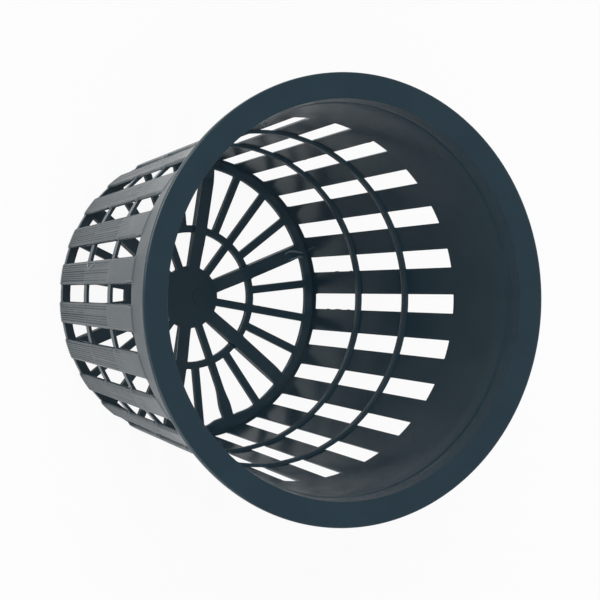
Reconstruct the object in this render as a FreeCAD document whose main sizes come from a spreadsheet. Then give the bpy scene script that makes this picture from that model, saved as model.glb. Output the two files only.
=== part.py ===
import FreeCAD, Part
import os
import Sketcher

# A hydroponic net pot, moulded in one piece: a tapered basket of slats between a flat
# rim flange and a spoked base, with two thin hoops that tie the slats together inside.
# The pot's axis is +Z, and the origin is on that axis where the base meets the ground.
# The first slot points along +X. All lengths are in millimetres, all angles in degrees.

doc = FreeCAD.newDocument("NetPot")
sheet = doc.addObject("Spreadsheet::Sheet", "size")

dimensions = {
    "potHeight": 119.0,
    "rimRadius": 76.0,
    "rimWidth": 9.7,
    "rimThickness": 2.0,
    "rimBevel": 0.5,
    "gussetSize": 1.6,
    "mouthDepth": 6.2,
    "mouthLedge": 0.5,
    "mouthBevel": 0.4,
    "collarWall": 1.0,
    "slatWall": 1.25,
    "slatEndChamfer": 1.1,
    "baseInnerRadius": 50.5,
    "shoulderRadius": 62.1,
    "spokeGroups": 6,
    "groupSlots": 4,
    "slotBottom": 3.0,
    "slotTop": 83.1,
    "slotFoot": 5.6,
    "slotHead": 6.7,
    "slotLand": 0.4,
    "slatBevel": 1.1,
    "footInset": 0.9,
    "footBevel": 1.3,
    "footWall": 0.5,
    "lowerHoopHeight": 29.1,
    "upperHoopHeight": 56.1,
    "hoopHeight": 3.0,
    "hoopStand": 0.7,
    "hoopWall": 0.4,
    "hoopCrown": 0.5,
    "baseThickness": 1.4,
    "baseRingWidth": 3.1,
    "middleRingOuter": 26.1,
    "middleRingInner": 23.4,
    "hubRadius": 11.3,
    "wideSpoke": 5.2,
    "narrowSpoke": 2.9,
    "spokeOverlap": 1.0,
    "warpLength": 10.7,
    "warpLow": 2.9,
    "warpHigh": 2.1,
    "sagDepth": 1.7,
    "sagLow": 9.8,
    "sagHigh": 7.5,
    "markRadius": 3.0,
    "markDepth": 0.3,
    "markOffset": 4.3,
    "cutMargin": 3.0,
}
for row, (name, value) in enumerate(dimensions.items(), start=1):
    sheet.set(f"A{row}", name)
    sheet.set(f"B{row}", str(value))
    sheet.setAlias(f"B{row}", name)
doc.recompute()

pot = doc.addObject("PartDesign::Body", "net_pot")
pot.Label = "net_pot"


def plane(role):
    """The body's own origin plane or axis with this role."""
    for feature in pot.Origin.OriginFeatures:
        if feature.Role == role:
            return feature
    raise RuntimeError(f"the body has no {role}")


def newSketch(name, role, height="0", turn="0"):
    """A sketch on an origin plane, raised and turned by two expressions."""
    sketch = pot.newObject("Sketcher::SketchObject", name)
    sketch.AttachmentSupport = [(plane(role), "")]
    sketch.MapMode = "FlatFace"
    sketch.setExpression("AttachmentOffset.Base.z", height)
    sketch.setExpression("AttachmentOffset.Rotation.Angle", turn)
    return sketch


def number(sketch, expression):
    """The plain number that an expression on the sheet comes to."""
    value = sketch.evalExpression(expression)
    return float(getattr(value, "Value", value))


def pinPoint(sketch, edge, end, point):
    """Holds one end of an edge at a point whose two coordinates are expressions."""
    for kind, axis, expression in zip(("DistanceX", "DistanceY"), (-2, -1), point):
        if expression == "0":
            sketch.addConstraint(Sketcher.Constraint("PointOnObject", edge, end, axis))
            continue
        value = number(sketch, expression)
        index = sketch.addConstraint(Sketcher.Constraint(kind, -1, 1, edge, end, value))
        sketch.setExpression(f"Constraints[{index}]", expression)


def outline(sketch, points):
    """A closed outline of straight edges through points given as expressions."""
    places = [
        FreeCAD.Vector(number(sketch, x), number(sketch, y), 0) for x, y in points
    ]
    edges = []
    for start, end in zip(places, places[1:] + places[:1]):
        edges.append(sketch.addGeometry(Part.LineSegment(start, end), False))
    for edge, following in zip(edges, edges[1:] + edges[:1]):
        sketch.addConstraint(Sketcher.Constraint("Coincident", edge, 2, following, 1))
    for edge, point in zip(edges, points):
        pinPoint(sketch, edge, 1, point)


def revolve(name, sketch):
    """The solid that a sketch on the XZ plane sweeps round the pot's axis."""
    feature = pot.newObject("PartDesign::Revolution", name)
    feature.Profile = sketch
    feature.ReferenceAxis = (sketch, ["V_Axis"])
    feature.Angle = 360
    doc.recompute()
    return feature


def repeat(name, features, count):
    """Copies of features round the pot's axis, their number given as an expression."""
    pattern = pot.newObject("PartDesign::PolarPattern", name)
    pattern.Originals = features
    pattern.Axis = (plane("Z_Axis"), [""])
    pattern.Angle = 360
    pattern.setExpression("Occurrences", count)
    pot.Tip = pattern
    doc.recompute()
    return pattern


# The inner wall is two cones: it leans out by wallSlope from the base to the slots' top,
# and from there, less steeply, to the ledge below the mouth.
wallSlope = "(size.shoulderRadius - size.baseInnerRadius) / size.slotTop"
mouthRadius = "(size.rimRadius - size.rimWidth)"
ledgeHeight = "(size.potHeight - size.mouthDepth)"
flangeUnderside = "(size.potHeight - size.rimThickness)"
collarRadius = f"({mouthRadius} + size.collarWall)"
baseRingRadius = "(size.baseInnerRadius - size.baseRingWidth)"


def wallRadius(height):
    """The inner wall's radius at a height between the base and the slots' top."""
    return f"(size.baseInnerRadius + {wallSlope} * {height})"


# The shell: flange, collar, the wall that the slats are cut from, and the base's outer ring.
# Its profile runs up the outside from the ground and comes back down the inside, and it has
# the bevels at the slats' ends, under the flange, at the rim, at the mouth and above the base.
shellSketch = newSketch("shell_profile", "XZ_Plane")
slatEnd = "size.slatEndChamfer"
outline(
    shellSketch,
    [
        (baseRingRadius, "0"),
        (f"{wallRadius('0')} + size.slatWall - {slatEnd}", "0"),
        (f"{wallRadius(slatEnd)} + size.slatWall", slatEnd),
        ("size.shoulderRadius + size.slatWall", "size.slotTop"),
        (
            "size.shoulderRadius + size.collarWall",
            "size.slotTop + size.slatWall - size.collarWall",
        ),
        (collarRadius, ledgeHeight),
        (collarRadius, f"{flangeUnderside} - size.gussetSize"),
        (f"{collarRadius} + size.gussetSize", flangeUnderside),
        ("size.rimRadius - size.rimBevel", flangeUnderside),
        ("size.rimRadius", f"{flangeUnderside} + size.rimBevel"),
        ("size.rimRadius", "size.potHeight - size.rimBevel"),
        ("size.rimRadius - size.rimBevel", "size.potHeight"),
        (f"{mouthRadius} + size.mouthBevel", "size.potHeight"),
        (mouthRadius, "size.potHeight - size.mouthBevel"),
        (mouthRadius, ledgeHeight),
        (f"{mouthRadius} - size.mouthLedge", ledgeHeight),
        ("size.shoulderRadius", "size.slotTop"),
        (wallRadius("size.slotBottom"), "size.slotBottom"),
        (f"{wallRadius('size.baseThickness')} - size.footBevel", "size.baseThickness"),
        (baseRingRadius, "size.baseThickness"),
    ],
)
revolve("shell", shellSketch)


slotCount = "(size.spokeGroups * size.groupSlots)"

# Each slot is straight through its inner land and opens outwards past it, so that the
# slats get bevelled edges. It is lofted between its foot and its head, which is wider.
flare = "(size.slatBevel / (size.slatWall - size.slotLand))"


def slotSection(name, height, halfWidth):
    sketch = newSketch(name, "XY_Plane", height)
    inner = f"{wallRadius(height)} - size.cutMargin"
    land = f"{wallRadius(height)} + size.slotLand"
    outer = f"{wallRadius(height)} + size.slatWall + size.cutMargin"
    spread = f"{halfWidth} + {flare} * (size.slatWall + size.cutMargin - size.slotLand)"
    outline(
        sketch,
        [
            (inner, f"-{halfWidth}"),
            (land, f"-{halfWidth}"),
            (outer, f"-({spread})"),
            (outer, spread),
            (land, halfWidth),
            (inner, halfWidth),
        ],
    )
    return sketch


def cutLoft(name, lower, upper):
    base = pot.Tip
    loft = pot.newObject("PartDesign::SubtractiveLoft", name)
    loft.Profile = lower
    loft.Sections = [upper]
    loft.Ruled = True
    doc.recompute()
    if not loft.Shape.Volume < base.Shape.Volume:
        raise RuntimeError(f"{name} cut nothing")
    return loft


slotFootSection = slotSection("slot_foot", "size.slotBottom", "(size.slotFoot / 2)")
slotHeadSection = slotSection("slot_head", "size.slotTop", "(size.slotHead / 2)")
slot = cutLoft("slot", slotFootSection, slotHeadSection)


# Below each slot the base's edge stands back from the slats, which end proud of it.
def footSection(name, height, inner):
    sketch = newSketch(name, "XY_Plane", height)
    outer = f"{wallRadius(height)} + size.slatWall + size.cutMargin"
    near = "(size.slotFoot / 2)"
    spread = f"({near} + {flare} * (size.slatWall + size.cutMargin - size.slotLand))"
    outline(
        sketch,
        [
            (inner, f"-{near}"),
            (outer, f"-{spread}"),
            (outer, spread),
            (inner, near),
        ],
    )
    return sketch


footLowSection = footSection("foot_low", "0", "size.baseInnerRadius - size.footInset")
footHighSection = footSection(
    "foot_high",
    "size.slotBottom",
    f"{wallRadius('size.slotBottom')} + size.footWall",
)
foot = cutLoft("foot", footLowSection, footHighSection)
repeat("slots", [slot, foot], slotCount)


# The hoops: each stands proud of the slats' inner faces with a crowned edge, and lies
# well back from their outer faces.
def hoop(name, height):
    sketch = newSketch(f"{name}_profile", "XZ_Plane")
    wall = wallRadius(height)
    outer = f"{wall} + size.hoopWall"
    shoulder = f"{wall} - size.hoopStand + size.hoopCrown"
    crown = f"{wall} - size.hoopStand"
    outline(
        sketch,
        [
            (outer, f"{height} - size.hoopHeight / 2"),
            (outer, f"{height} + size.hoopHeight / 2"),
            (shoulder, f"{height} + size.hoopHeight / 2"),
            (crown, f"{height} + size.hoopHeight / 2 - size.hoopCrown"),
            (crown, f"{height} - size.hoopHeight / 2 + size.hoopCrown"),
            (shoulder, f"{height} - size.hoopHeight / 2"),
        ],
    )
    revolve(name, sketch)


hoop("lower_hoop", "size.lowerHoopHeight")
hoop("upper_hoop", "size.upperHoopHeight")


# The base: a spoke meets each slat's foot. Each group of spokes runs short, wide, short,
# narrow: the wide and narrow ones start at the hub, the short ones at the middle ring.
outerEnd = f"({baseRingRadius} + size.spokeOverlap)"


def spokes(name, width, start, turn, count):
    sketch = newSketch(f"{name}_outline", "XY_Plane", "0", turn)
    outline(
        sketch,
        [
            (start, f"-{width} / 2"),
            (outerEnd, f"-{width} / 2"),
            (outerEnd, f"{width} / 2"),
            (start, f"{width} / 2"),
        ],
    )
    pad = pot.newObject("PartDesign::Pad", f"{name}_bar")
    pad.Profile = sketch
    pad.setExpression("Length", "size.baseThickness")
    doc.recompute()
    repeat(name, [pad], count)


hubStart = "(size.hubRadius / 2)"
ringStart = "((size.middleRingInner + size.middleRingOuter) / 2)"
firstSlat = f"180 / {slotCount}"
group = "360 / size.spokeGroups"
wideTurn = f"{firstSlat} + {group} / 4"
narrowTurn = f"{firstSlat} + {group} * 3 / 4"
groups = "size.spokeGroups"
spokes("wide_spokes", "size.wideSpoke", hubStart, wideTurn, groups)
spokes("narrow_spokes", "size.narrowSpoke", hubStart, narrowTurn, groups)
spokes("short_spokes", "size.narrowSpoke", ringStart, firstSlat, f"2 * {groups}")


# One narrow spoke came out of the mould warped: it flares towards the outer ring, whose
# inner edge sags to both sides of it.
def ringEdge(across):
    """How far out the outer ring's inner edge lies, at a distance across the spoke."""
    return f"sqrt({baseRingRadius} * {baseRingRadius} - {across} * {across})"


warpTurn = f"{narrowTurn} + 4 * {group}"
sagEdge = f"({baseRingRadius} - size.sagDepth)"
warpSketch = newSketch("warp_outline", "XY_Plane", "0", warpTurn)
outline(
    warpSketch,
    [
        (f"{sagEdge} - size.warpLength", "-size.narrowSpoke / 2"),
        (sagEdge, "-size.warpLow"),
        (ringEdge("size.sagLow"), "-size.sagLow"),
        (f"{ringEdge('size.sagLow')} + size.spokeOverlap", "-size.sagLow"),
        (f"{ringEdge('size.sagHigh')} + size.spokeOverlap", "size.sagHigh"),
        (ringEdge("size.sagHigh"), "size.sagHigh"),
        (sagEdge, "size.warpHigh"),
        (f"{sagEdge} - size.warpLength", "size.narrowSpoke / 2"),
    ],
)
warp = pot.newObject("PartDesign::Pad", "warped_spoke")
warp.Profile = warpSketch
warp.setExpression("Length", "size.baseThickness")
doc.recompute()

middleRingSketch = newSketch("middle_ring_profile", "XZ_Plane")
outline(
    middleRingSketch,
    [
        ("size.middleRingInner", "0"),
        ("size.middleRingOuter", "0"),
        ("size.middleRingOuter", "size.baseThickness"),
        ("size.middleRingInner", "size.baseThickness"),
    ],
)
revolve("middle_ring", middleRingSketch)

hubSketch = newSketch("hub_profile", "XZ_Plane")
outline(
    hubSketch,
    [
        ("0", "0"),
        ("size.hubRadius", "0"),
        ("size.hubRadius", "size.baseThickness"),
        ("0", "size.baseThickness"),
    ],
)
revolve("hub", hubSketch)


# The shallow round mark that an ejector pin left in the hub, a little to one side.
markSketch = newSketch("ejector_mark_circle", "XY_Plane", "size.baseThickness")
centre = FreeCAD.Vector(number(markSketch, "size.markOffset"), 0, 0)
radius = number(markSketch, "size.markRadius")
circle = markSketch.addGeometry(Part.Circle(centre, FreeCAD.Vector(0, 0, 1), radius), False)
index = markSketch.addConstraint(Sketcher.Constraint("Radius", circle, radius))
markSketch.setExpression(f"Constraints[{index}]", "size.markRadius")
pinPoint(markSketch, circle, 3, ("size.markOffset", "0"))
hubVolume = pot.Tip.Shape.Volume
mark = pot.newObject("PartDesign::Pocket", "ejector_mark")
mark.Profile = markSketch
mark.setExpression("Length", "size.markDepth")
doc.recompute()
if not mark.Shape.Volume < hubVolume:
    raise RuntimeError("the ejector mark cut nothing")

doc.recompute()
for item in doc.Objects:
    faults = [state for state in item.State if state in ("Invalid", "Error")]
    if faults:
        raise RuntimeError(f"{item.Name}: {faults}")
shape = pot.Shape
if shape.isNull() or not shape.isValid() or len(shape.Solids) != 1:
    raise RuntimeError("the pot is not one valid solid")

os.makedirs("parts", exist_ok=True)
shape.exportStep(f"parts/{pot.Label}.step")
print(f"{pot.Label}: {shape.Volume:.0f} cubic mm, {len(shape.Faces)} faces")
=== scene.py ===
import math
import bpy
import numpy as np
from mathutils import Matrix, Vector


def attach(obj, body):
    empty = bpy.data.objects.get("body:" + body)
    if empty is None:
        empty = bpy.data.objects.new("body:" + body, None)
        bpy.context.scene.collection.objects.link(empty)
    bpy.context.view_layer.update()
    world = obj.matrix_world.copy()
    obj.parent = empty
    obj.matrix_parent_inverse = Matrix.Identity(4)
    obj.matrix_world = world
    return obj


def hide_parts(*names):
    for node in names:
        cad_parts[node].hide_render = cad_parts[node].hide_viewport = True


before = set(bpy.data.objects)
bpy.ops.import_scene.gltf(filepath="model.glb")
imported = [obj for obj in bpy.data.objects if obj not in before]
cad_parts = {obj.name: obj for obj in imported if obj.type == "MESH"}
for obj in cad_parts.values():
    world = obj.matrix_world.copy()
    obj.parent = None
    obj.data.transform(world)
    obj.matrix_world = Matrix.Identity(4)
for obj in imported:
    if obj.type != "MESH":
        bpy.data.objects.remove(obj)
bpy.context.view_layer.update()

scene = bpy.context.scene

print("camera")
camera = {
    "place": (-0.58658, -0.00617, 1.16498),  # metres
    "turn": (-0.6033, -28.5032, 1.8434),  # degrees about X, Y and Z
    "lens": 216.0,
    "sensor": 36.0,
}
cameraData = bpy.data.cameras.new("camera")
cameraData.lens = camera["lens"]
cameraData.sensor_width = camera["sensor"]
cameraData.clip_end = 20.0
cameraObject = bpy.data.objects.new("camera", cameraData)
cameraObject.location = camera["place"]
cameraObject.rotation_euler = [math.radians(angle) for angle in camera["turn"]]
scene.collection.objects.link(cameraObject)
scene.camera = cameraObject


def linearColour(hexCode):
    # sRGB to linear: a straight part near black, and a power of 2.4 above it
    parts = [int(hexCode[i : i + 2], 16) / 255 for i in (1, 3, 5)]
    return [p / 12.92 if p <= 0.04045 else ((p + 0.055) / 1.055) ** 2.4 for p in parts] + [1]


def addNode(tree, kind, settings=None, values=None, links=None):
    # a node with its properties, its socket values and the sockets that feed it
    node = tree.nodes.new(kind)
    for name, value in (settings or {}).items():
        setattr(node, name, value)
    for name, value in (values or {}).items():
        node.inputs[name].default_value = value
    for name, source in (links or {}).items():
        tree.links.new(source, node.inputs[name])
    return node


print("floor, world and lamps")
studio = {
    "floor": "#f2f2f2",
    "floorSize": 6.0,
    "floorGlow": 0.92,  # share of plain white in what the camera sees of the floor
    # and in what the plastic mirrors of it: under the pot, beside it, and on the key lamp's
    # side, where its pool of light begins and is full at these distances along Y
    "mirroredUnder": 0.2,
    "mirroredBeside": 0.36,
    "mirroredBright": 0.97,
    "underPot": (0.048, 0.06),  # metres from the pot's axis between which the shadow ends
    "brightSide": (0.01, 0.05),
    "skyLow": 0.75,  # strength of the world near the horizon
    "skyHigh": 0.3,  # and overhead
    "skyBand": (0.15, 0.85),  # between these sines of the elevation
    "sky": "#fbfcff",
    "aim": (0, 0, 0.06),  # the point in metres that the lamps face
}
# Soft boxes: place in metres, width, height, and the light each gives at the pot, where 1
# is as much as a white sky all round would give a surface that faces it.
softBoxes = {
    "key": ((-0.55, 0.6, 1.4), 0.9, 0.9, 0.44),
    "fill": ((-0.35, -0.75, 1.35), 0.9, 0.9, 0.22),
}


def makeFloor():
    half = studio["floorSize"] / 2
    mesh = bpy.data.meshes.new("floor")
    corners = [(-half, -half, 0), (half, -half, 0), (half, half, 0), (-half, half, 0)]
    mesh.from_pydata(corners, [], [(0, 1, 2, 3)])
    floor = bpy.data.objects.new("floor", mesh)
    scene.collection.objects.link(floor)
    material = bpy.data.materials.new("studio_floor")
    material.use_nodes = True
    tree = material.node_tree
    tree.nodes.clear()
    paint = linearColour(studio["floor"])
    matt = addNode(tree, "ShaderNodeBsdfDiffuse", values={"Color": paint})
    glow = addNode(tree, "ShaderNodeEmission", values={"Color": (1, 1, 1, 1), "Strength": 1.0})
    rays = addNode(tree, "ShaderNodeLightPath")
    mirrored = addNode(
        tree,
        "ShaderNodeMath",
        {"operation": "MAXIMUM"},
        links={0: rays.outputs["Is Glossy Ray"], 1: rays.outputs["Is Transmission Ray"]},
    )
    # the share of plain white: one for the camera, another for mirrored rays, none for others
    seen = addNode(
        tree,
        "ShaderNodeMath",
        {"operation": "MULTIPLY"},
        {1: studio["floorGlow"]},
        {0: rays.outputs["Is Camera Ray"]},
    )
    place = addNode(tree, "ShaderNodeTexCoord")
    away = addNode(
        tree, "ShaderNodeVectorMath", {"operation": "LENGTH"}, links={0: place.outputs["Object"]}
    )
    parts = addNode(tree, "ShaderNodeSeparateXYZ", links={0: place.outputs["Object"]})
    beside = addNode(
        tree,
        "ShaderNodeMapRange",
        {"interpolation_type": "SMOOTHSTEP"},
        {
            "From Min": studio["brightSide"][0],
            "From Max": studio["brightSide"][1],
            "To Min": studio["mirroredBeside"],
            "To Max": studio["mirroredBright"],
        },
        {"Value": parts.outputs["Y"]},
    )
    outside = addNode(
        tree,
        "ShaderNodeMapRange",
        {"interpolation_type": "SMOOTHSTEP"},
        {
            "From Min": studio["underPot"][0],
            "From Max": studio["underPot"][1],
            "To Min": studio["mirroredUnder"],
        },
        {"Value": away.outputs["Value"], "To Max": beside.outputs[0]},
    )
    share = addNode(
        tree,
        "ShaderNodeMath",
        {"operation": "MULTIPLY_ADD"},
        links={0: mirrored.outputs[0], 1: outside.outputs[0], 2: seen.outputs[0]},
    )
    both = addNode(
        tree,
        "ShaderNodeMixShader",
        links={0: share.outputs[0], 1: matt.outputs[0], 2: glow.outputs[0]},
    )
    addNode(tree, "ShaderNodeOutputMaterial", links={"Surface": both.outputs[0]})
    mesh.materials.append(material)


def makeWorld():
    # A pale tent, brightest at the horizon and dimmer overhead. Seen from inside, the height
    # of the direction's tip is the sine of its elevation.
    world = bpy.data.worlds.new("studio_world")
    scene.world = world
    world.use_nodes = True
    tree = world.node_tree
    tree.nodes.clear()
    place = addNode(tree, "ShaderNodeTexCoord")
    parts = addNode(tree, "ShaderNodeSeparateXYZ", links={0: place.outputs["Generated"]})
    strength = addNode(
        tree,
        "ShaderNodeMapRange",
        {"interpolation_type": "SMOOTHSTEP"},
        {
            "From Min": studio["skyBand"][0],
            "From Max": studio["skyBand"][1],
            "To Min": studio["skyLow"],
            "To Max": studio["skyHigh"],
        },
        {"Value": parts.outputs["Z"]},
    )
    light = addNode(
        tree,
        "ShaderNodeBackground",
        values={"Color": linearColour(studio["sky"])},
        links={"Strength": strength.outputs[0]},
    )
    addNode(tree, "ShaderNodeOutputWorld", links={"Surface": light.outputs[0]})


def makeSoftBox(name, place, width, height, light):
    # An area lamp of power P gives P / (pi times its area) watts a square metre and steradian,
    # and its area over the distance squared is the angle it fills. A white sky gives pi.
    distance = math.dist(place, studio["aim"])
    lamp = bpy.data.lights.new(name, "AREA")
    lamp.shape = "RECTANGLE"
    lamp.size = width
    lamp.size_y = height
    lamp.energy = light * math.pi * math.pi * distance**2
    box = bpy.data.objects.new(name, lamp)
    box.location = place
    facing = Vector(studio["aim"]) - Vector(place)
    box.rotation_euler = facing.to_track_quat("-Z", "Y").to_euler()
    scene.collection.objects.link(box)


makeFloor()
makeWorld()
for name, values in softBoxes.items():
    makeSoftBox(name, *values)

print("plastic")
plastic = {
    # Polypropylene, injection moulded and coloured dark blue grey: satin, with a soft
    # sheen at low angles, a slight cloudiness, and fine flow lines from the mould.
    "dark": "#1d2f3a",
    "light": "#253944",
    "ior": 1.49,
    "gloss": "#f2fffd",  # tint of what the surface mirrors
    "sheen": 0.05,
    "sheenRoughness": 0.35,
    "sheenTint": "#cfe0e6",
    "roughness": 0.22,
    "roughnessChange": 0.08,
    "cloud": 14.0,  # mm across a patch of colour
    "cloudBand": (0.3, 0.7),  # the patches' usual lowest and highest values
    "grain": 0.55,  # mm between grains, coarser than the real 0.1 mm so that it shows
    "grainDepth": 0.003,  # mm
    "flow": 5.0,  # mm between flow ripples
    "flowLength": 0.12,  # how far the ripples are drawn out, as a scale along Z
    "flowDepth": 0.02,  # mm
    # The marks' pale colour: plastic rubbed or stretched pale in the scuffs, flash and burrs, and a
    # painted highlight along the flow streaks at a wide spoke's foot.
    "paleAndHighlight": "#8a979c",  # rubbed or stretched pale plastic, and a painted highlight on the flow streaks
    # scuffs on the collar's inside: the middle, and the reach along X, Y and Z, in mm
    "scuffs": (
        ((-5.2, -63.9, 96.3), (2.6, 1.5, 1.1)),
        ((-1.0, -64.6, 99.5), (2.0, 1.2, 0.8)),
        ((-4.0, 63.8, 95.6), (3.2, 1.5, 1.2)),
        ((3.0, 61.6, 80.5), (1.6, 1.2, 2.4)),
    ),
    "scuffCore": 0.2,  # the share of the reach where a scuff is full
    "scuffStrength": 0.6,
    "scuffGrain": 1.2,  # mm
}


def makePlastic():
    material = bpy.data.materials.new("moulded_polypropylene")
    material.use_nodes = True
    tree = material.node_tree
    tree.nodes.clear()
    place = addNode(tree, "ShaderNodeTexCoord").outputs["Object"]
    cloud = addNode(
        tree,
        "ShaderNodeTexNoise",
        values={"Scale": 1000 / plastic["cloud"], "Detail": 3.0, "Roughness": 0.6},
        links={"Vector": place},
    )
    tint = addNode(
        tree,
        "ShaderNodeMix",
        {"data_type": "RGBA"},
        {6: linearColour(plastic["dark"]), 7: linearColour(plastic["light"])},
        {0: cloud.outputs[0]},
    )
    gloss = addNode(
        tree,
        "ShaderNodeMapRange",
        values={
            "From Min": plastic["cloudBand"][0],
            "From Max": plastic["cloudBand"][1],
            "To Min": plastic["roughness"] - plastic["roughnessChange"] / 2,
            "To Max": plastic["roughness"] + plastic["roughnessChange"] / 2,
        },
        links={"Value": cloud.outputs[0]},
    )
    # each scuff fades out with the distance from its middle, in shares of its reach
    speckle = addNode(
        tree,
        "ShaderNodeTexNoise",
        values={"Scale": 1000 / plastic["scuffGrain"], "Detail": 2.0},
        links={"Vector": place},
    )
    # how pale each point is, from the marks' attribute: paler flash and burrs, and a painted
    # highlight on the flow streaks
    pale = addNode(tree, "ShaderNodeAttribute", {"attribute_name": "paleAndHighlight"}).outputs["Fac"]
    for middle, reach in plastic["scuffs"]:
        off = addNode(
            tree,
            "ShaderNodeVectorMath",
            {"operation": "SUBTRACT"},
            {1: [part / 1000 for part in middle]},
            {0: place},
        )
        scaled = addNode(
            tree,
            "ShaderNodeVectorMath",
            {"operation": "MULTIPLY"},
            {1: [1000 / part for part in reach]},
            {0: off.outputs[0]},
        )
        length = addNode(
            tree, "ShaderNodeVectorMath", {"operation": "LENGTH"}, links={0: scaled.outputs[0]}
        )
        near = addNode(
            tree,
            "ShaderNodeMapRange",
            {"interpolation_type": "SMOOTHSTEP"},
            {
                "From Min": plastic["scuffCore"],
                "From Max": 1.0,
                "To Min": plastic["scuffStrength"],
                "To Max": 0.0,
            },
            {"Value": length.outputs["Value"]},
        )
        pale = addNode(
            tree,
            "ShaderNodeMath",
            {"operation": "MULTIPLY_ADD"},
            links={0: near.outputs[0], 1: speckle.outputs[0], 2: pale},
        ).outputs[0]
    # mixed towards the pale colour: rubbed plastic in the scuffs, and a painted highlight on the
    # flow streaks
    shade = addNode(
        tree,
        "ShaderNodeMix",
        {"data_type": "RGBA"},
        {7: linearColour(plastic["paleAndHighlight"])},
        {0: pale, 6: tint.outputs[2]},
    )
    # flow ripples run up the pot, so the pattern is drawn out along Z
    drawn = addNode(
        tree,
        "ShaderNodeMapping",
        values={"Scale": (1, 1, plastic["flowLength"])},
        links={"Vector": place},
    )
    flow = addNode(
        tree,
        "ShaderNodeTexNoise",
        values={"Scale": 1000 / plastic["flow"], "Detail": 2.0},
        links={"Vector": drawn.outputs[0]},
    )
    grain = addNode(
        tree,
        "ShaderNodeTexNoise",
        values={"Scale": 1000 / plastic["grain"], "Detail": 1.0},
        links={"Vector": place},
    )
    ripples = addNode(
        tree,
        "ShaderNodeBump",
        values={"Strength": 1.0, "Distance": plastic["flowDepth"] / 1000},
        links={"Height": flow.outputs[0]},
    )
    fine = addNode(
        tree,
        "ShaderNodeBump",
        values={"Strength": 1.0, "Distance": plastic["grainDepth"] / 1000},
        links={"Height": grain.outputs[0], "Normal": ripples.outputs[0]},
    )
    shader = addNode(
        tree,
        "ShaderNodeBsdfPrincipled",
        values={
            "IOR": plastic["ior"],
            "Metallic": 0.0,
            "Specular Tint": linearColour(plastic["gloss"]),
            "Sheen Weight": plastic["sheen"],
            "Sheen Roughness": plastic["sheenRoughness"],
            "Sheen Tint": linearColour(plastic["sheenTint"]),
        },
        links={
            "Base Color": shade.outputs[2],
            "Roughness": gloss.outputs[0],
            "Normal": fine.outputs[0],
        },
    )
    addNode(tree, "ShaderNodeOutputMaterial", links={"Surface": shader.outputs[0]})
    return material


potPlastic = makePlastic()

print("pot")
pot = {
    # All in millimetres, heights from the ground, radii from the pot's axis.
    "height": 119.0,
    "rimRadius": 76.0,
    "mouthRadius": 66.3,
    "flangeUnderside": 117.0,
    "ledgeHeight": 112.8,
    "ledgeWidth": 0.5,
    "collarWall": 1.0,
    "slats": 24,
    "wallFoot": 50.5,
    "wallShoulder": 62.1,
    "slatWall": 1.25,
    "slotLand": 0.2,
    "slotBottom": 3.0,
    "slotTop": 83.1,
    "slotFoot": 2.8,  # half widths
    "slotHead": 3.35,
    "slatBevel": 1.0,
    "bevelAcross": 0.34,  # the bevel's middle line: share of its width, and of its rise
    "bevelUp": 0.65,
    "slotCorner": 0.12,
    "hoops": (29.1, 56.1),
    "hoopHalf": 1.5,
    "hoopBead": 0.85,
    "hoopTilt": 0.22,
    "hoopCorner": 0.22,  # share of the half height that its soft corner takes
    "hoopCornerPower": 0.12,
    "baseThickness": 1.4,
    "ringInner": 47.4,
    "middleOuter": 26.1,
    "middleInner": 23.4,
    "hub": 11.3,
    "mark": 3.0,  # radius of the ejector pin's mark
    "markRows": (-0.3, -0.05, 0.25),  # rows at its edge, of which the last isn't sunk
    "markDepth": 0.3,
    "markOffset": (4.3, 0.3),
    "markFade": 7.7,  # the rows around it are centred on the pot again over this distance
    "wideSpoke": 2.6,  # half widths
    "narrowSpoke": 1.45,
    "spokeCorner": 0.12,
    "ribRise": 1.2,  # the wide spokes are ribs, higher than the base by this much
    "ribReach": (11.0, 25.0, 42.0, 49.0),  # they rise and fall between these radii
    "wideDraft": 0.2,  # how much narrower each side of a spoke or ring is on top
    "narrowDraft": 0.08,
    "ringDraft": 0.1,
    "edgeDrop": 0.11,  # rounding of the windows' edges in the base's top
    "edgeDropBelow": 0.8,  # and, as shares of it, in its underside and in the wall
    "edgeDropWall": 0.5,
    "sineLimit": 0.95,
    "turnReach": 0.75,  # share of the hub over which the lines turn evenly spaced
    "lip": 0.25,  # width of the strip along the windows' edges
    "faceLips": 2.2,  # how many of these lie between a slat's edge and its even lines
    "grooves": 8,
    "grooveDepth": 0.28,
    "grooveSeed": 7,
    "grooveSpread": (0.75, 1.1),  # each groove's depth lies between these shares
    "grooveZones": (1.0, 0.85, 0.6),  # and is this share of that in each zone
    "grooveFoot": (0.05, 0.6),  # height where the grooves begin, and over which they deepen
    "grooveFade": (60.0, 22.0),  # height where they start to fade, and over which they do
    "grooveRest": 0.03,  # the share that is left above
    "zoneStep": 0.06,  # the slats' faces step out by this much at each hoop
    "flare": 0.96,  # the mouth's top edge is wider than the mouth by this much
    "evenFrom": 84.0,  # above the slots all lines turn evenly spaced, from this height
    "evenOver": 20.0,  # over this much
    "sharpAngle": 35,  # degrees between faces that meet in a hard edge
}
warp = {
    # One spoke is warped, in millimetres. Each side widens by a soft step: by how much, from
    # which radius and over what distance. The high side bulges too: height, middle and width.
    "slat": 19,
    "low": (1.35, 34.0, 9.5),
    "high": (0.25, 42.0, 5.0),
    "bulge": (0.5, 42.0, 3.2),
    # The outer ring sags beside it: by how much, and the degrees from the spoke where that
    # starts to fade and over which it does. The rows follow from one radius up to the ring,
    # and for a distance beyond its inner edge.
    "sagLow": (1.5, 6.5, 6.5),
    "sagHigh": (0.95, 3.0, 9.0),
    "sagFrom": 42.0,
    "sagBeyond": 1.5,
}
pitch = 2 * math.pi / pot["slats"]
slatCentres = (np.arange(pot["slats"]) + 0.5) * pitch
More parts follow.
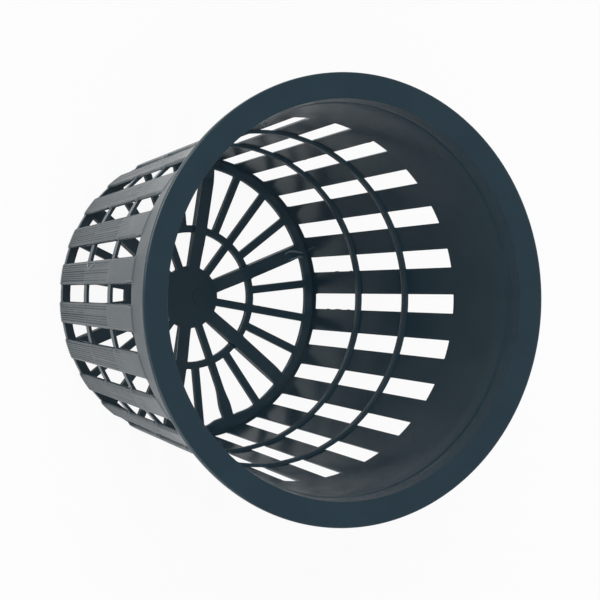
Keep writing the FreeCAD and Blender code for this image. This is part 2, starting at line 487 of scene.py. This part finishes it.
# Lines run up the pot, and each slat has its own: two in the slot, the slat's edge and the
# bevel's middle, those across its face, and on the other side the bevel's middle, the edge
# and one more in the slot.
lowLines = 4
highLines = 3
perGroove = 3  # lines to a groove
sparseFace = pot["grooves"] + 1  # lines across a slat's face where it is smooth
denseFace = pot["grooves"] * perGroove + 1  # and where it is grooved
sparseLines = lowLines + sparseFace + highLines
denseLines = lowLines + denseFace + highLines
slotLines = (0, 1, 2, -2, -1)  # those in the slots and at the slat's edges
bevelLines = (3, -3)
topZone = len(pot["hoops"])  # a slat's zones are counted from 0 at its foot


def smoothStep(t):
    # 0 below 0, 1 above 1, and 3 t squared less 2 t cubed between
    t = np.clip(t, 0, 1)
    return t * t * (3 - 2 * t)


def cornerFill(gap, radius):
    # what a quarter circle fills of a corner, at a gap from the edge that it meets
    rest = radius - np.clip(gap, 0, radius)
    return radius - np.sqrt(radius**2 - rest**2)


def span(start, end, count, lips):
    # Places from start to end, leaving out start: some close to both ends, at these numbers
    # of lips from them, and a count of even ones between.
    lips = np.array(lips) * pot["lip"]
    middle = np.linspace(start + lips[-1], end - lips[-1], count + 2)[1:-1]
    return np.concatenate([start + lips, middle, end - lips[::-1], [end]])


def wallRadius(z):
    # the inner wall leans out evenly from its foot to the slots' top
    lean = (pot["wallShoulder"] - pot["wallFoot"]) / pot["slotTop"]
    return pot["wallFoot"] + lean * z


def slotHalf(z):
    # half the slot's width, growing evenly with height
    return np.interp(z, [pot["slotBottom"], pot["slotTop"]], [pot["slotFoot"], pot["slotHead"]])


# Rows run out over the base from the hub and then up the wall. Each has a place on the
# inside and on the outside of the moulding, and outside another one in line with the slots.
hub = pot["hub"]
mark = pot["mark"]
markRows = mark + np.array(pot["markRows"])
hubRows = np.concatenate([markRows, [0.5 * hub, 0.8 * hub, hub - pot["lip"], hub]])
baseRows = np.concatenate(
    [
        hubRows,
        span(hub, pot["middleInner"], 5, (1, 2.8)),
        span(pot["middleInner"], pot["middleOuter"], 1, (1,)),
        span(pot["middleOuter"], pot["ringInner"], 9, (1, 2.8)),
        [pot["ringInner"] + pot["lip"], pot["ringInner"] + 1.0],
    ]
)
# The foot: the corner inside, the slats' bevelled ends, and the base's edge between them.
# Each row is a radius and a height.
footInside = np.array(
    [(49.6, 1.4), (50.2, 1.4), (50.69, 1.4), (50.72, 1.6), (50.77, 2.0), (50.84, 2.5), (50.92, 3.0)]
)
footOutside = np.array(
    [(49.6, 0.0), (50.3, 0.0), (50.75, 0.14), (51.25, 0.5), (51.72, 1.0), (51.98, 1.6), (52.17, 3.0)]
)
footBetween = np.array(
    [(49.6, 0.0), (50.3, 0.04), (50.7, 0.2), (50.9, 0.5), (51.03, 1.0), (51.14, 1.9), (51.32, 3.0)]
)
wallEdges = [pot["slotBottom"]]
for hoopHeight in pot["hoops"]:
    wallEdges += [hoopHeight - pot["hoopHalf"], hoopHeight + pot["hoopHalf"]]
wallEdges.append(pot["slotTop"])
wallRows = np.concatenate(
    [
        # slots and hoops in turn, with closer rows at a hoop's corners
        span(low, high, 3, (1,) if index % 2 == 0 else (0.2, 1.4))
        for index, (low, high) in enumerate(zip(wallEdges, wallEdges[1:]))
    ]
)
baseCount = len(baseRows)
sharedCount = baseCount + len(footInside) + len(wallRows)


def bead(z):
    # A hoop's height above the inner wall: nearly square, and higher on its upper side. Near
    # its corners it is multiplied by a low power of the distance from the corner.
    total = np.zeros_like(z)
    for hoopHeight in pot["hoops"]:
        off = np.clip((z - hoopHeight) / pot["hoopHalf"], -1, 1)
        corner = np.clip((1 - np.abs(off)) / pot["hoopCorner"], 0, 1) ** pot["hoopCornerPower"]
        total += pot["hoopBead"] * corner * (1 + pot["hoopTilt"] * off)
    return total


# On top, the hub and the rings are narrower than below, by the draft of the mould.
topRows = baseRows.copy()
slack = 0.01  # tells whether a row lies on an edge or a lip away from it
ringEdges = ((hub, -1), (pot["middleInner"], 1), (pot["middleOuter"], -1), (pot["ringInner"], 1))
for edge, side in ringEdges:
    within = (baseRows - edge) * side
    topRows[(within > -slack) & (within < pot["lip"] + slack)] += side * pot["ringDraft"]
insideR = np.concatenate([topRows, footInside[:, 0], wallRadius(wallRows) - bead(wallRows)])
insideZ = np.concatenate([np.full(baseCount, pot["baseThickness"]), footInside[:, 1], wallRows])
insideZ[:2] -= pot["markDepth"]  # the mark's two sunk rows
faceR = np.concatenate([baseRows, footOutside[:, 0], wallRadius(wallRows) + pot["slatWall"]])
faceZ = np.concatenate([np.zeros(baseCount), footOutside[:, 1], wallRows])
slotR = np.concatenate([baseRows, footBetween[:, 0], wallRadius(wallRows) + pot["slotLand"]])
slotZ = np.concatenate([np.zeros(baseCount), footBetween[:, 1], wallRows])

# Which cells hold material: cell i, j lies between rows i and i + 1 and lines j and j + 1.
middleR = (faceR[:-1] + faceR[1:]) / 2
middleZ = (insideZ[:-1] + insideZ[1:]) / 2
onBase = np.arange(sharedCount - 1) < baseCount
innerWindow = onBase & (middleR > hub) & (middleR < pot["middleInner"])
outerWindow = onBase & (middleR > pot["middleOuter"]) & (middleR < pot["ringInner"])
wallWindow = np.zeros(sharedCount - 1, bool)
for low, high in zip(wallEdges[0::2], wallEdges[1::2]):
    wallWindow |= ~onBase & (middleZ > low) & (middleZ < high)
isSlot = np.zeros(sparseLines, bool)
isSlot[[0, 1, -2, -1]] = True
isShort = np.arange(pot["slats"]) % 2 == 0
solid = np.ones((sharedCount - 1, pot["slats"], sparseLines), bool)
solid &= ~((innerWindow | outerWindow | wallWindow)[:, None, None] & isSlot)
solid &= ~(innerWindow[:, None, None] & isShort[:, None])
solid = solid.reshape(sharedCount - 1, -1)

# Half widths of spokes along the base rows, on the low and high side of each. Every other
# spoke is short and ends at the middle ring, and of the long ones every other is wide.
isWide = np.arange(pot["slats"]) % 4 == 1
spokeHalf = np.where(isWide, pot["wideSpoke"], pot["narrowSpoke"])
gap = np.minimum.reduce([np.abs(baseRows - edge) for edge, side in ringEdges])
fill = cornerFill(gap, pot["spokeCorner"])
halves = np.repeat((spokeHalf[None, :] + fill[:, None])[:, :, None], 2, axis=2)
# The warped spoke flares out towards the ring, more on its low side. Its bulge is a bell
# curve: e to the power of less the squared distance in bulge widths.
lowWiden, lowFrom, lowOver = warp["low"]
highWiden, highFrom, highOver = warp["high"]
bulge, bulgeMiddle, bulgeWidth = warp["bulge"]
halves[:, warp["slat"], 0] += lowWiden * smoothStep((baseRows - lowFrom) / lowOver)
halves[:, warp["slat"], 1] += bulge * np.exp(-(((baseRows - bulgeMiddle) / bulgeWidth) ** 2))
halves[:, warp["slat"], 1] += highWiden * smoothStep((baseRows - highFrom) / highOver)
draft = np.where(isWide, pot["wideDraft"], pot["narrowDraft"])[None, :, None]


def lineAngles(edge, middle, face, faceLines):
    # angles of all lines along each row: even across a slat's face, and halfway across
    # the slots. edge, middle and face are half angles, by row, slat and side.
    half = np.full(edge.shape[:2] + (1,), pitch / 2)
    share = np.linspace(0, 1, faceLines)
    across = -face[:, :, :1] * (1 - share) + face[:, :, 1:] * share
    low = [-half, -(half + edge[:, :, :1]) / 2, -edge[:, :, :1], -middle[:, :, :1]]
    high = [middle[:, :, 1:], edge[:, :, 1:], (half + edge[:, :, 1:]) / 2]
    lines = np.concatenate(low + [across] + high, axis=2) + slatCentres[None, :, None]
    return lines.reshape(len(edge), -1)


def wallAngle(z, radius, extra):
    # A slat's half angle beside a slot whose half width has something added to it: half the
    # pitch less the arc sine of that width over the radius. Only the plain slot is filled
    # at its corners.
    wide = slotHalf(z) + extra
    near = np.min([np.abs(z - edge) for edge in wallEdges], axis=0)
    corner = np.where(extra == 0, cornerFill(near, pot["slotCorner"]), 0)
    return pitch / 2 - np.arcsin((wide - corner) / radius)


def bothSides(values):
    # one value a row, for every slat and both its sides
    return np.repeat(np.repeat(values[:, None, None], pot["slats"], axis=1), 2, axis=2)


def joinUp(baseEdge, upEdge):
    # the last base row lies between the spokes' ends and the slats' feet
    edge = np.concatenate([baseEdge, upEdge])
    edge[baseCount - 1] = (edge[baseCount - 2] + edge[baseCount]) / 2
    return edge


upR, upZ = insideR[baseCount:], insideZ[baseCount:]
# A spoke's half angle is the arc sine of its half width over the radius, with a limit for
# the rows near the pole, where the spokes have run together.
topEdge = np.arcsin(np.clip((halves - draft) / topRows[:, None, None], 0, pot["sineLimit"]))
insideEdge = joinUp(topEdge, bothSides(wallAngle(upZ, upR, 0.0)))
lipAngle = pot["lip"] / insideR[:, None, None]
faceStart = insideEdge - pot["faceLips"] * lipAngle
insideLines = lineAngles(insideEdge, insideEdge - lipAngle, faceStart, sparseFace)

outR, outZ = slotR[baseCount:], slotZ[baseCount:]
landEdge = bothSides(wallAngle(np.maximum(outZ, 0), outR, 0.0))
faceEdge = bothSides(wallAngle(np.maximum(outZ, 0), faceR[baseCount:], pot["slatBevel"]))
baseEdge = np.arcsin(np.clip(halves / baseRows[:, None, None], 0, pot["sineLimit"]))
outsideEdge = joinUp(baseEdge, landEdge[:1])[:baseCount]
lipAngle = lipAngle[:baseCount]
faceStart = outsideEdge - pot["faceLips"] * lipAngle
outsideSparse = lineAngles(outsideEdge, outsideEdge - lipAngle, faceStart, sparseFace)
bevelMiddle = landEdge * (1 - pot["bevelAcross"]) + faceEdge * pot["bevelAcross"]
outsideDense = lineAngles(landEdge, bevelMiddle, faceEdge, denseFace)

# Inside the middle ring the short spokes are missing, so their lines spread evenly between
# the long ones; and over the hub all lines turn evenly spaced towards the pole.
lineCount = pot["slats"] * sparseLines
even = np.arange(lineCount) * (2 * math.pi / lineCount)


def spreadShort(lines):
    # the lines of each short spoke, even between its neighbours' edges
    unrolled = np.concatenate([lines - 2 * math.pi, lines, lines + 2 * math.pi], axis=1)
    result = lines.copy()
    for short in range(0, pot["slats"], 2):
        first = lineCount + short * sparseLines - 2
        last = lineCount + (short + 1) * sparseLines + 2
        share = np.linspace(0, 1, last - first + 1)
        between = unrolled[:, first : first + 1] * (1 - share) + unrolled[:, last : last + 1] * share
        columns = np.arange(first, last + 1) - lineCount
        turn = 2 * math.pi * np.floor(columns / lineCount)
        result[:, columns % lineCount] = between - turn
    return result


ringWidth = pot["middleOuter"] - pot["middleInner"] - 2 * pot["lip"]
ringShare = smoothStep((baseRows - pot["middleInner"] - pot["lip"]) / ringWidth)[:, None]
hubShare = smoothStep((baseRows - mark) / (pot["turnReach"] * hub))[:, None]


def gatherLines(lines):
    # the base's lines, changed by these shares over the hub and in the middle ring
    lines = spreadShort(lines) * (1 - ringShare) + lines * ringShare
    turning = even * (1 - hubShare) + lines[len(hubRows) - 1] * hubShare
    return np.where((baseRows < hub)[:, None], turning, lines)


insideLines[:baseCount] = gatherLines(insideLines[:baseCount])
outsideSparse = gatherLines(outsideSparse)


def ringSag(angles, radii):
    # the outer ring's inner edge sags inwards beside the warped spoke, by a soft step on
    # each side, and the rows near it follow
    off = np.degrees(angles - slatCentres[warp["slat"]])
    off = (off + 180) % 360 - 180
    low, lowFrom, lowOver = warp["sagLow"]
    high, highFrom, highOver = warp["sagHigh"]
    lowSag = low * (1 - smoothStep((-off - lowFrom) / lowOver))
    highSag = high * (1 - smoothStep((off - highFrom) / highOver))
    rise = smoothStep((radii - warp["sagFrom"]) / (pot["ringInner"] - warp["sagFrom"]))
    fall = 1 - smoothStep((radii - pot["ringInner"] - pot["lip"]) / warp["sagBeyond"])
    return np.where(off < 0, lowSag, highSag) * rise * fall


def gridPoints(angles, radii, heights, shift=0.0):
    # x and y from the angle and radius, with rows moved sideways by a shift, in metres
    points = np.stack([radii * np.cos(angles), radii * np.sin(angles), heights], axis=-1)
    return (points + shift) / 1000


def classSpread(slot, face, lines):
    # values along a row by line: slots and slat edges, half way up the bevel, slat faces
    shape = (len(slot), pot["slats"], lines)
    values = np.broadcast_to(face[:, None, None], shape).copy()
    for line in slotLines:
        values[:, :, line] = slot[:, None]
    for line in bevelLines:
        values[:, :, line] = ((1 - pot["bevelUp"]) * slot + pot["bevelUp"] * face)[:, None]
    return values.reshape(len(slot), -1)


# Vertices at the windows' edges drop a little, which rounds those edges.
padded = np.concatenate([np.ones((1, lineCount), bool), solid, np.ones((1, lineCount), bool)])
turned = np.roll(padded, 1, axis=1)
cellsRound = [padded[:-1], padded[1:], turned[:-1], turned[1:]]
atEdge = np.any(cellsRound, axis=0) & ~np.all(cellsRound, axis=0)


def ribRise(radii):
    # a wide spoke's height above the base, by a soft step at each of its ends
    start, full, fall, end = pot["ribReach"]
    rising = smoothStep((radii - start) / (full - start))
    return pot["ribRise"] * rising * (1 - smoothStep((radii - fall) / (end - fall)))


onRib = np.zeros((pot["slats"], sparseLines))
onRib[isWide, 2:-1] = 1
onBaseRow = (np.arange(sharedCount) < baseCount + 1)[:, None]
insideRadii = np.repeat(insideR[:, None], lineCount, axis=1)
insideHeights = np.repeat(insideZ[:, None], lineCount, axis=1)
insideHeights[:baseCount] += ribRise(baseRows)[:, None] * onRib.ravel()
insideHeights -= np.where(atEdge & onBaseRow, pot["edgeDrop"], 0)
insideRadii += np.where(atEdge & ~onBaseRow, pot["edgeDropWall"] * pot["edgeDrop"], 0)
insideRadii -= np.where(onBaseRow, ringSag(insideLines, insideRadii), 0)

outsideBaseRadii = np.repeat(baseRows[:, None], lineCount, axis=1)
outsideBaseRadii -= ringSag(outsideSparse, outsideBaseRadii)
outsideBaseHeights = np.where(atEdge[:baseCount], pot["edgeDropBelow"] * pot["edgeDrop"], 0)

# The slats' faces have three zones, parted at the hoops, each a little further out than the
# one below. Grooves run up them: one line in three is sunk, by a depth that differs from
# groove to groove and zone to zone, and fades out at the foot and towards the collar.
chance = np.random.default_rng(pot["grooveSeed"])
denseHeight = faceZ[baseCount:]
zone = np.searchsorted(pot["hoops"], denseHeight)
zoneR = faceR[baseCount:] - pot["zoneStep"] * (topZone - zone)
denseR = classSpread(slotR[baseCount:], zoneR, denseLines)
denseZ = classSpread(slotZ[baseCount:], faceZ[baseCount:], denseLines)
depth = np.zeros((topZone + 1, pot["slats"], denseLines))
sunk = lowLines + perGroove * np.arange(pot["grooves"]) + 1
spread = chance.uniform(*pot["grooveSpread"], (topZone + 1, pot["slats"], pot["grooves"]))
depth[:, :, sunk] = pot["grooveDepth"] * spread
footFrom, footOver = pot["grooveFoot"]
fadeFrom, fadeOver = pot["grooveFade"]
grooveShare = smoothStep((denseHeight - footFrom) / footOver)
grooveShare *= 1 - (1 - pot["grooveRest"]) * smoothStep((denseHeight - fadeFrom) / fadeOver)
grooveShare *= np.array(pot["grooveZones"])[zone]
denseR -= grooveShare[:, None] * depth[zone].reshape(len(zone), -1)

# Above the slots: inside to the ledge, mouth and flange, and outside the collar. Each row
# is a radius and a height, and close rows soften an edge.
shoulder = pot["wallShoulder"]
ledge = pot["ledgeHeight"]
mouth = pot["mouthRadius"]
top = pot["height"]
ledgeR = mouth - pot["ledgeWidth"]
rim = pot["rimRadius"]
under = pot["flangeUnderside"]
flared = mouth + pot["flare"]
collarZ = np.array([83.35, 84.5, 90.0, 98.0, 106.0, 112.0])
collarR = np.interp(collarZ, [pot["slotTop"], ledge], [shoulder, ledgeR])
ledgeRows = [(ledgeR + 0.02, ledge - 0.45), (ledgeR + 0.12, ledge - 0.15)]
ledgeRows += [(mouth - 0.12, ledge + 0.15), (mouth, ledge + 0.5)]
mouthRows = [(mouth, ledge + 1.8), (mouth + 0.12, ledge + 2.6), (mouth + 0.6, top - 1.6)]
mouthRows += [(flared - 0.08, top - 0.4), (flared, top - 0.08)]
flangeRows = [(flared + 0.08, top), (mouth + 4.0, top), (mouth + 6.8, top), (rim - 0.75, top)]
rimRows = [(rim - 0.3, top - 0.05), (rim - 0.07, top - 0.2), (rim, top - 0.45)]
collarRows = np.stack([collarR, collarZ], 1)
upperInside = np.concatenate([collarRows, ledgeRows, mouthRows, flangeRows, rimRows])

outerCollar = mouth + pot["collarWall"]
skinZ = np.array([83.6, 84.3, 85.2, 92.0, 100.0, 107.0])
skinR = np.interp(skinZ, [pot["slotTop"], ledge], [shoulder + pot["collarWall"], outerCollar])
proud = np.array([0.2, 0.06, 0, 0, 0, 0])  # the slats' upper ends stand proud of the collar
gussetRows = [(outerCollar, ledge), (outerCollar, under - 1.5), (outerCollar + 0.12, under - 0.8)]
gussetRows += [(outerCollar + 0.45, under - 0.3), (outerCollar + 1.1, under - 0.05)]
gussetRows += [(outerCollar + 2.0, under)]
underRows = [(mouth + 5.5, under), (rim - 0.8, under), (rim - 0.35, under + 0.1)]
underRows += [(rim - 0.1, under + 0.35), (rim, under + 0.75)]
upperOutside = np.concatenate([np.stack([skinR, skinZ], 1), gussetRows, underRows])
upperProud = np.concatenate([proud, np.zeros(len(gussetRows) + len(underRows))])
# The slots' last row lies on the collar's outside.
slotR[-1] = shoulder + pot["collarWall"]
denseR[-1] = classSpread(slotR[-1:], faceR[-1:], denseLines)[0]

upperInsideLines = np.repeat(insideLines[-1:], len(upperInside), axis=0)
lastSparse = outsideDense[-1].reshape(pot["slats"], denseLines)
keepFace = lowLines + perGroove * np.arange(sparseFace)
keepHigh = denseLines - highLines + np.arange(highLines)
keep = np.concatenate([np.arange(lowLines), keepFace, keepHigh])
upperOutsideLines = np.repeat(lastSparse[:, keep].reshape(1, -1), len(upperOutside), axis=0)


def evenOut(lines, heights):
    # lines that turn evenly spaced by a soft step up the collar
    share = smoothStep((heights - pot["evenFrom"]) / pot["evenOver"])[:, None]
    return lines * (1 - share) + even * share


upperOutsideLines = evenOut(upperOutsideLines, upperOutside[:, 1])
upperInsideLines = evenOut(upperInsideLines, upperInside[:, 1])
upperOutsideR = classSpread(upperOutside[:, 0], upperOutside[:, 0] + upperProud, sparseLines)
upperOutsideZ = np.repeat(upperOutside[:, 1:], lineCount, axis=1)
upperInsideR = np.repeat(upperInside[:, :1], lineCount, axis=1)
upperInsideZ = np.repeat(upperInside[:, 1:], lineCount, axis=1)

# All points in one list: a pole and rows inside, and a pole and three groups of rows outside.
markCentre = np.array([*pot["markOffset"], 0])
markShare = np.zeros(sharedCount)
markShare[:baseCount] = 1 - smoothStep((baseRows - markRows[-1]) / pot["markFade"])
blocks = [
    (markCentre + [0, 0, pot["baseThickness"] - pot["markDepth"]])[None, :] / 1000,
    gridPoints(insideLines, insideRadii, insideHeights, markShare[:, None, None] * markCentre),
    gridPoints(upperInsideLines, upperInsideR, upperInsideZ),
    np.array([[0, 0, 0]]),
    gridPoints(outsideSparse, outsideBaseRadii, outsideBaseHeights),
    gridPoints(outsideDense, denseR, denseZ),
    gridPoints(upperOutsideLines, upperOutsideR, upperOutsideZ),
]
sizes = [block.size // 3 for block in blocks]
starts = np.concatenate([[0], np.cumsum(sizes)])
points = np.concatenate([block.reshape(-1, 3) for block in blocks])
inside = starts[1] + np.arange(sizes[1] + sizes[2]).reshape(-1, lineCount)
outsideBase = starts[4] + np.arange(sizes[4]).reshape(-1, lineCount)
dense = starts[5] + np.arange(sizes[5]).reshape(-1, pot["slats"] * denseLines)
outsideUpper = starts[6] + np.arange(sizes[6]).reshape(-1, lineCount)

# The lines of the grooved rows that the smooth rows share.
sharedLine = (np.arange(pot["slats"])[:, None] * denseLines + keep[None, :]).ravel()
faces = []


def addFaces(*corners):
    # faces from arrays of corner indices, one array for each corner
    faces.append(np.stack([np.ravel(corner) for corner in corners], axis=1))


def nextLine(rows):
    # the neighbours on the next line, all the way round
    return np.roll(rows, -1, axis=-1)


def addSheet(rows, present, outward):
    # quads between neighbouring rows and lines where there is material
    a, b, c, d = rows[:-1], rows[1:], nextLine(rows)[1:], nextLine(rows)[:-1]
    order = (a, d, c, b) if outward else (a, b, c, d)
    addFaces(*[corner[present] for corner in order])


allSolid = np.ones((len(upperInside), lineCount), bool)
addFaces(np.full(lineCount, starts[0]), inside[0], nextLine(inside[0]))
addSheet(inside, np.concatenate([solid, allSolid]), False)
addFaces(np.full(lineCount, starts[3]), nextLine(outsideBase[0]), outsideBase[0])
addSheet(outsideBase, solid[: baseCount - 1], True)
# Each smooth cell with a groove spans three grooved cells.
slatCells = np.arange(sparseLines)
hasGroove = (slatCells >= lowLines) & (slatCells < lowLines + pot["grooves"])
cellOfDense = np.repeat(slatCells, np.where(hasGroove, perGroove, 1))
solidDense = solid[baseCount:].reshape(-1, pot["slats"], sparseLines)[:, :, cellOfDense]
solidDense = solidDense.reshape(len(dense) - 1, -1)
addSheet(dense, solidDense, True)
addSheet(outsideUpper, allSolid[: len(outsideUpper) - 1], True)


def addChange(smooth, grooved, rising):
    # the strip where smooth and grooved rows meet: quads beside the slats' faces, and a
    # face of six corners over each groove
    line = np.arange(lineCount)
    overGroove = hasGroove[line % sparseLines]
    for cells, steps in ((line[~overGroove], 1), (line[overGroove], perGroove)):
        low, high = smooth[cells], smooth[(cells + 1) % lineCount]
        along = [grooved[(sharedLine[cells] + step) % len(grooved)] for step in range(steps + 1)]
        addFaces(*([low, high] + along[::-1] if rising else along + [high, low]))


addChange(outsideBase[-1], dense[0], True)
addChange(outsideUpper[0], dense[-1], False)
lastIn, lastOut = inside[-1], outsideUpper[-1]
addFaces(nextLine(lastIn), lastIn, lastOut, nextLine(lastOut))

# The windows' sides join inside to outside wherever a cell with material meets one without.
outsideShared = np.concatenate([outsideBase, dense[:, sharedLine]])
insideShared = inside[:sharedCount]
before = np.roll(solid, 1, axis=1)
for which, flip in ((before & ~solid, False), (solid & ~before, True)):
    row, line = np.nonzero(which)
    within = [insideShared[row, line], insideShared[row + 1, line]]
    corners = within + [outsideShared[row + 1, line], outsideShared[row, line]]
    addFaces(*(corners[::-1] if flip else corners))
# Above the last shared row there is material all round, which closes the slots' tops.
capped = np.concatenate([solid, np.ones((1, lineCount), bool)])
for which, flip in ((capped[:-1] & ~capped[1:], False), (capped[1:] & ~capped[:-1], True)):
    row, line = np.nonzero(which)
    row += 1
    following = (line + 1) % lineCount
    within = [insideShared[row, following], insideShared[row, line]]
    corners = within + [outsideShared[row, line], outsideShared[row, following]]
    addFaces(*(corners[::-1] if flip else corners))


def makeMesh(name, points, faces, material, sharpAngle):
    # a mesh from points and groups of faces, each group with its own number of corners
    corners = np.concatenate([group.ravel() for group in faces])
    counts = np.concatenate([np.full(len(group), group.shape[1]) for group in faces])
    mesh = bpy.data.meshes.new(name)
    mesh.vertices.add(len(points))
    mesh.vertices.foreach_set("co", points.ravel())
    mesh.loops.add(len(corners))
    mesh.loops.foreach_set("vertex_index", corners.astype(np.int32))
    mesh.polygons.add(len(counts))
    loopStarts = np.concatenate([[0], np.cumsum(counts)[:-1]])
    mesh.polygons.foreach_set("loop_start", loopStarts.astype(np.int32))
    mesh.update(calc_edges=True)
    mesh.polygons.foreach_set("use_smooth", np.ones(len(counts), bool))
    mesh.set_sharp_from_angle(angle=math.radians(sharpAngle))
    mesh.materials.append(material)
    piece = bpy.data.objects.new(name, mesh)
    scene.collection.objects.link(piece)
    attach(piece, "root")
    return piece


moulding = makeMesh("net_pot_moulding", points, faces, potPlastic, pot["sharpAngle"])
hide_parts("net_pot")
triangles = sum(len(group) * (group.shape[1] - 2) for group in faces)
print("pot triangles", triangles)

print("moulding marks")
firstStreak = ((38.6, 16.6), (39.8, 17.5), (41.1, 18.0), (43.2, 18.0), (44.8, 17.7), (46.1, 17.6))
marks = {
    # In millimetres and degrees. Slivers along a path: half the width, the height, how pale,
    # and the path's points, on the outside and the inner wall as angle and height, on the
    # base as X and Y.
    # Outside is a V of flash, and inside are the flow streaks at the foot of a wide spoke: raised
    # ridges whose pale colour is a painted highlight.
    "outside": (
        (0.34, 0.2, 1.0, ((168.2, 30.7), (169.3, 31.2), (170.2, 31.9), (171.5, 32.8))),
        (0.3, 0.16, 0.75, ((171.4, 33.0), (170.8, 34.6), (170.25, 36.4), (169.3, 39.8))),
    ),
    "base": (
        (0.55, 0.22, 0.34, firstStreak),
        (0.5, 0.2, 0.34, ((40.1, 14.95), (42.4, 15.4), (44.5, 16.1), (46.15, 15.8))),
    ),
    "baseShift": 0.55,  # on a raised rib they shift along X by this share of its height
    "wall": ((0.5, 0.16, 0.12, ((21.2, 2.3), (21.7, 3.6), (22.06, 5.0), (22.6, 8.0))),),
    # Burrs on the slots' edges: the slot's angle, the side, and the heights it lies between.
    "burrs": (
        (15, -1, 15.6, 18.6),
        (15, -1, 24.6, 26.3),
        (0, -1, 9.6, 12.2),
        (0, -1, 14.5, 19.0),
        (0, -1, 22.0, 24.4),
        (0, 1, 3.4, 4.3),
        (60, 1, 37.8, 40.6),
        (60, 1, 78.6, 82.4),
        (285, 1, 78.5, 82.2),
        (270, -1, 79.0, 82.6),
    ),
    "burrPoints": 4,
    "burrWidth": 0.22,  # half of it
    "burrHeight": 0.2,
    "burrBlush": 0.1,
    "burrInset": 0.15,  # outwards from the inner wall
    "samples": 25,  # sections along a sliver
    "across": (-1, -0.62, 0, 0.62, 1),  # a section's corners: shares of the half width
    "above": (-0.6, 0.62, 1, 0.62, -0.6),  # and of the height
    "ends": 0.12,  # its size at both ends
    "endPower": 0.7,
    "sharpAngle": 60,
}
markPoints, markFaces, markPaleAndHighlight = [], [], []


def around(angles, radii, heights):
    # points and outward directions from degrees, radii and heights
    turn = np.radians(angles)
    outward = np.stack([np.cos(turn), np.sin(turn), np.zeros_like(turn)], axis=1)
    return outward * radii[:, None] + [0, 0, 1] * heights[:, None], outward


def addSliver(path, up, halfWidth, height, paleAndHighlight):
    # A closed strip with a section of five corners, two of them sunk into the moulding. It
    # has a direction away from the moulding at each point of its path, which a cubic smooths.
    # It thins out towards both ends, by a power of the sine of the way along it.
    share = np.linspace(0, 1, len(path))
    fine = np.linspace(0, 1, marks["samples"])
    degree = min(3, len(path) - 1)
    curves = [np.polyfit(share, axis, degree) for axis in np.transpose(path)]
    centres = np.stack([np.polyval(curve, fine) for curve in curves], axis=1)
    ups = np.stack([np.interp(fine, share, axis) for axis in np.transpose(up)], axis=1)
    along = np.gradient(centres, axis=0)
    side = np.cross(along, ups)
    side /= np.linalg.norm(side, axis=1, keepdims=True)
    swell = np.sin(math.pi * fine) ** marks["endPower"]
    thin = (marks["ends"] + (1 - marks["ends"]) * swell)[:, None, None]
    across = np.array(marks["across"])[None, :, None] * halfWidth
    above = np.array(marks["above"])[None, :, None] * height
    section = centres[:, None] + thin * (across * side[:, None] + above * ups[:, None])
    first = sum(len(part) for part in markPoints)
    rows = first + np.arange(section.size // 3).reshape(len(fine), -1)
    markPoints.append(section.reshape(-1, 3) / 1000)
    # how pale its points are, which on the flow streaks is a painted highlight
    markPaleAndHighlight.append(np.full(rows.size, paleAndHighlight))
    following = np.roll(rows, -1, axis=1)
    quads = np.stack([rows[:-1], following[:-1], following[1:], rows[1:]], axis=-1)
    markFaces.append(quads.reshape(-1, 4))
    markFaces.append(np.stack([rows[0, ::-1], rows[-1]]))  # its two ends


def onFace(angles, heights):
    # on the slats' outer faces, whose radius steps at the hoops
    zones = np.searchsorted(pot["hoops"], heights)
    radii = wallRadius(heights) + pot["slatWall"] - pot["zoneStep"] * (topZone - zones)
    return around(angles, radii, heights)


for halfWidth, height, paleAndHighlight, path in marks["outside"]:
    angles, heights = np.transpose(path)
    addSliver(*onFace(angles, heights), halfWidth, height, paleAndHighlight)
for halfWidth, height, paleAndHighlight, path in marks["base"]:
    x, y = np.transpose(path)
    raised = ribRise(np.hypot(x, y))
    x = x - marks["baseShift"] * raised
    middle = np.stack([x, y, pot["baseThickness"] + raised], axis=1)
    addSliver(middle, np.tile([0.0, 0.0, 1.0], (len(x), 1)), halfWidth, height, paleAndHighlight)
for halfWidth, height, paleAndHighlight, path in marks["wall"]:
    angles, heights = np.transpose(path)
    middle, outward = around(angles, wallRadius(heights), heights)
    addSliver(middle, -outward, halfWidth, height, paleAndHighlight)
for slot, side, low, high in marks["burrs"]:
    heights = np.linspace(low, high, marks["burrPoints"])
    radii = wallRadius(heights) + marks["burrInset"]
    angles = slot + side * np.degrees(np.arcsin(slotHalf(heights) / radii))
    middle, outward = around(angles, radii, heights)
    inwards = -side * np.stack([-outward[:, 1], outward[:, 0], outward[:, 2]], axis=1)
    addSliver(middle, inwards, marks["burrWidth"], marks["burrHeight"], marks["burrBlush"])
markSpots = np.concatenate(markPoints)
details = makeMesh("net_pot_marks", markSpots, markFaces, potPlastic, marks["sharpAngle"])
# the marks' paleness as an attribute for the plastic: paler flash and burrs, and a painted highlight
# on the flow streaks
paleAndHighlightLayer = details.data.attributes.new("paleAndHighlight", "FLOAT", "POINT")
paleAndHighlightLayer.data.foreach_set("value", np.concatenate(markPaleAndHighlight).astype(np.float32))

scene.view_settings.view_transform = "Standard"
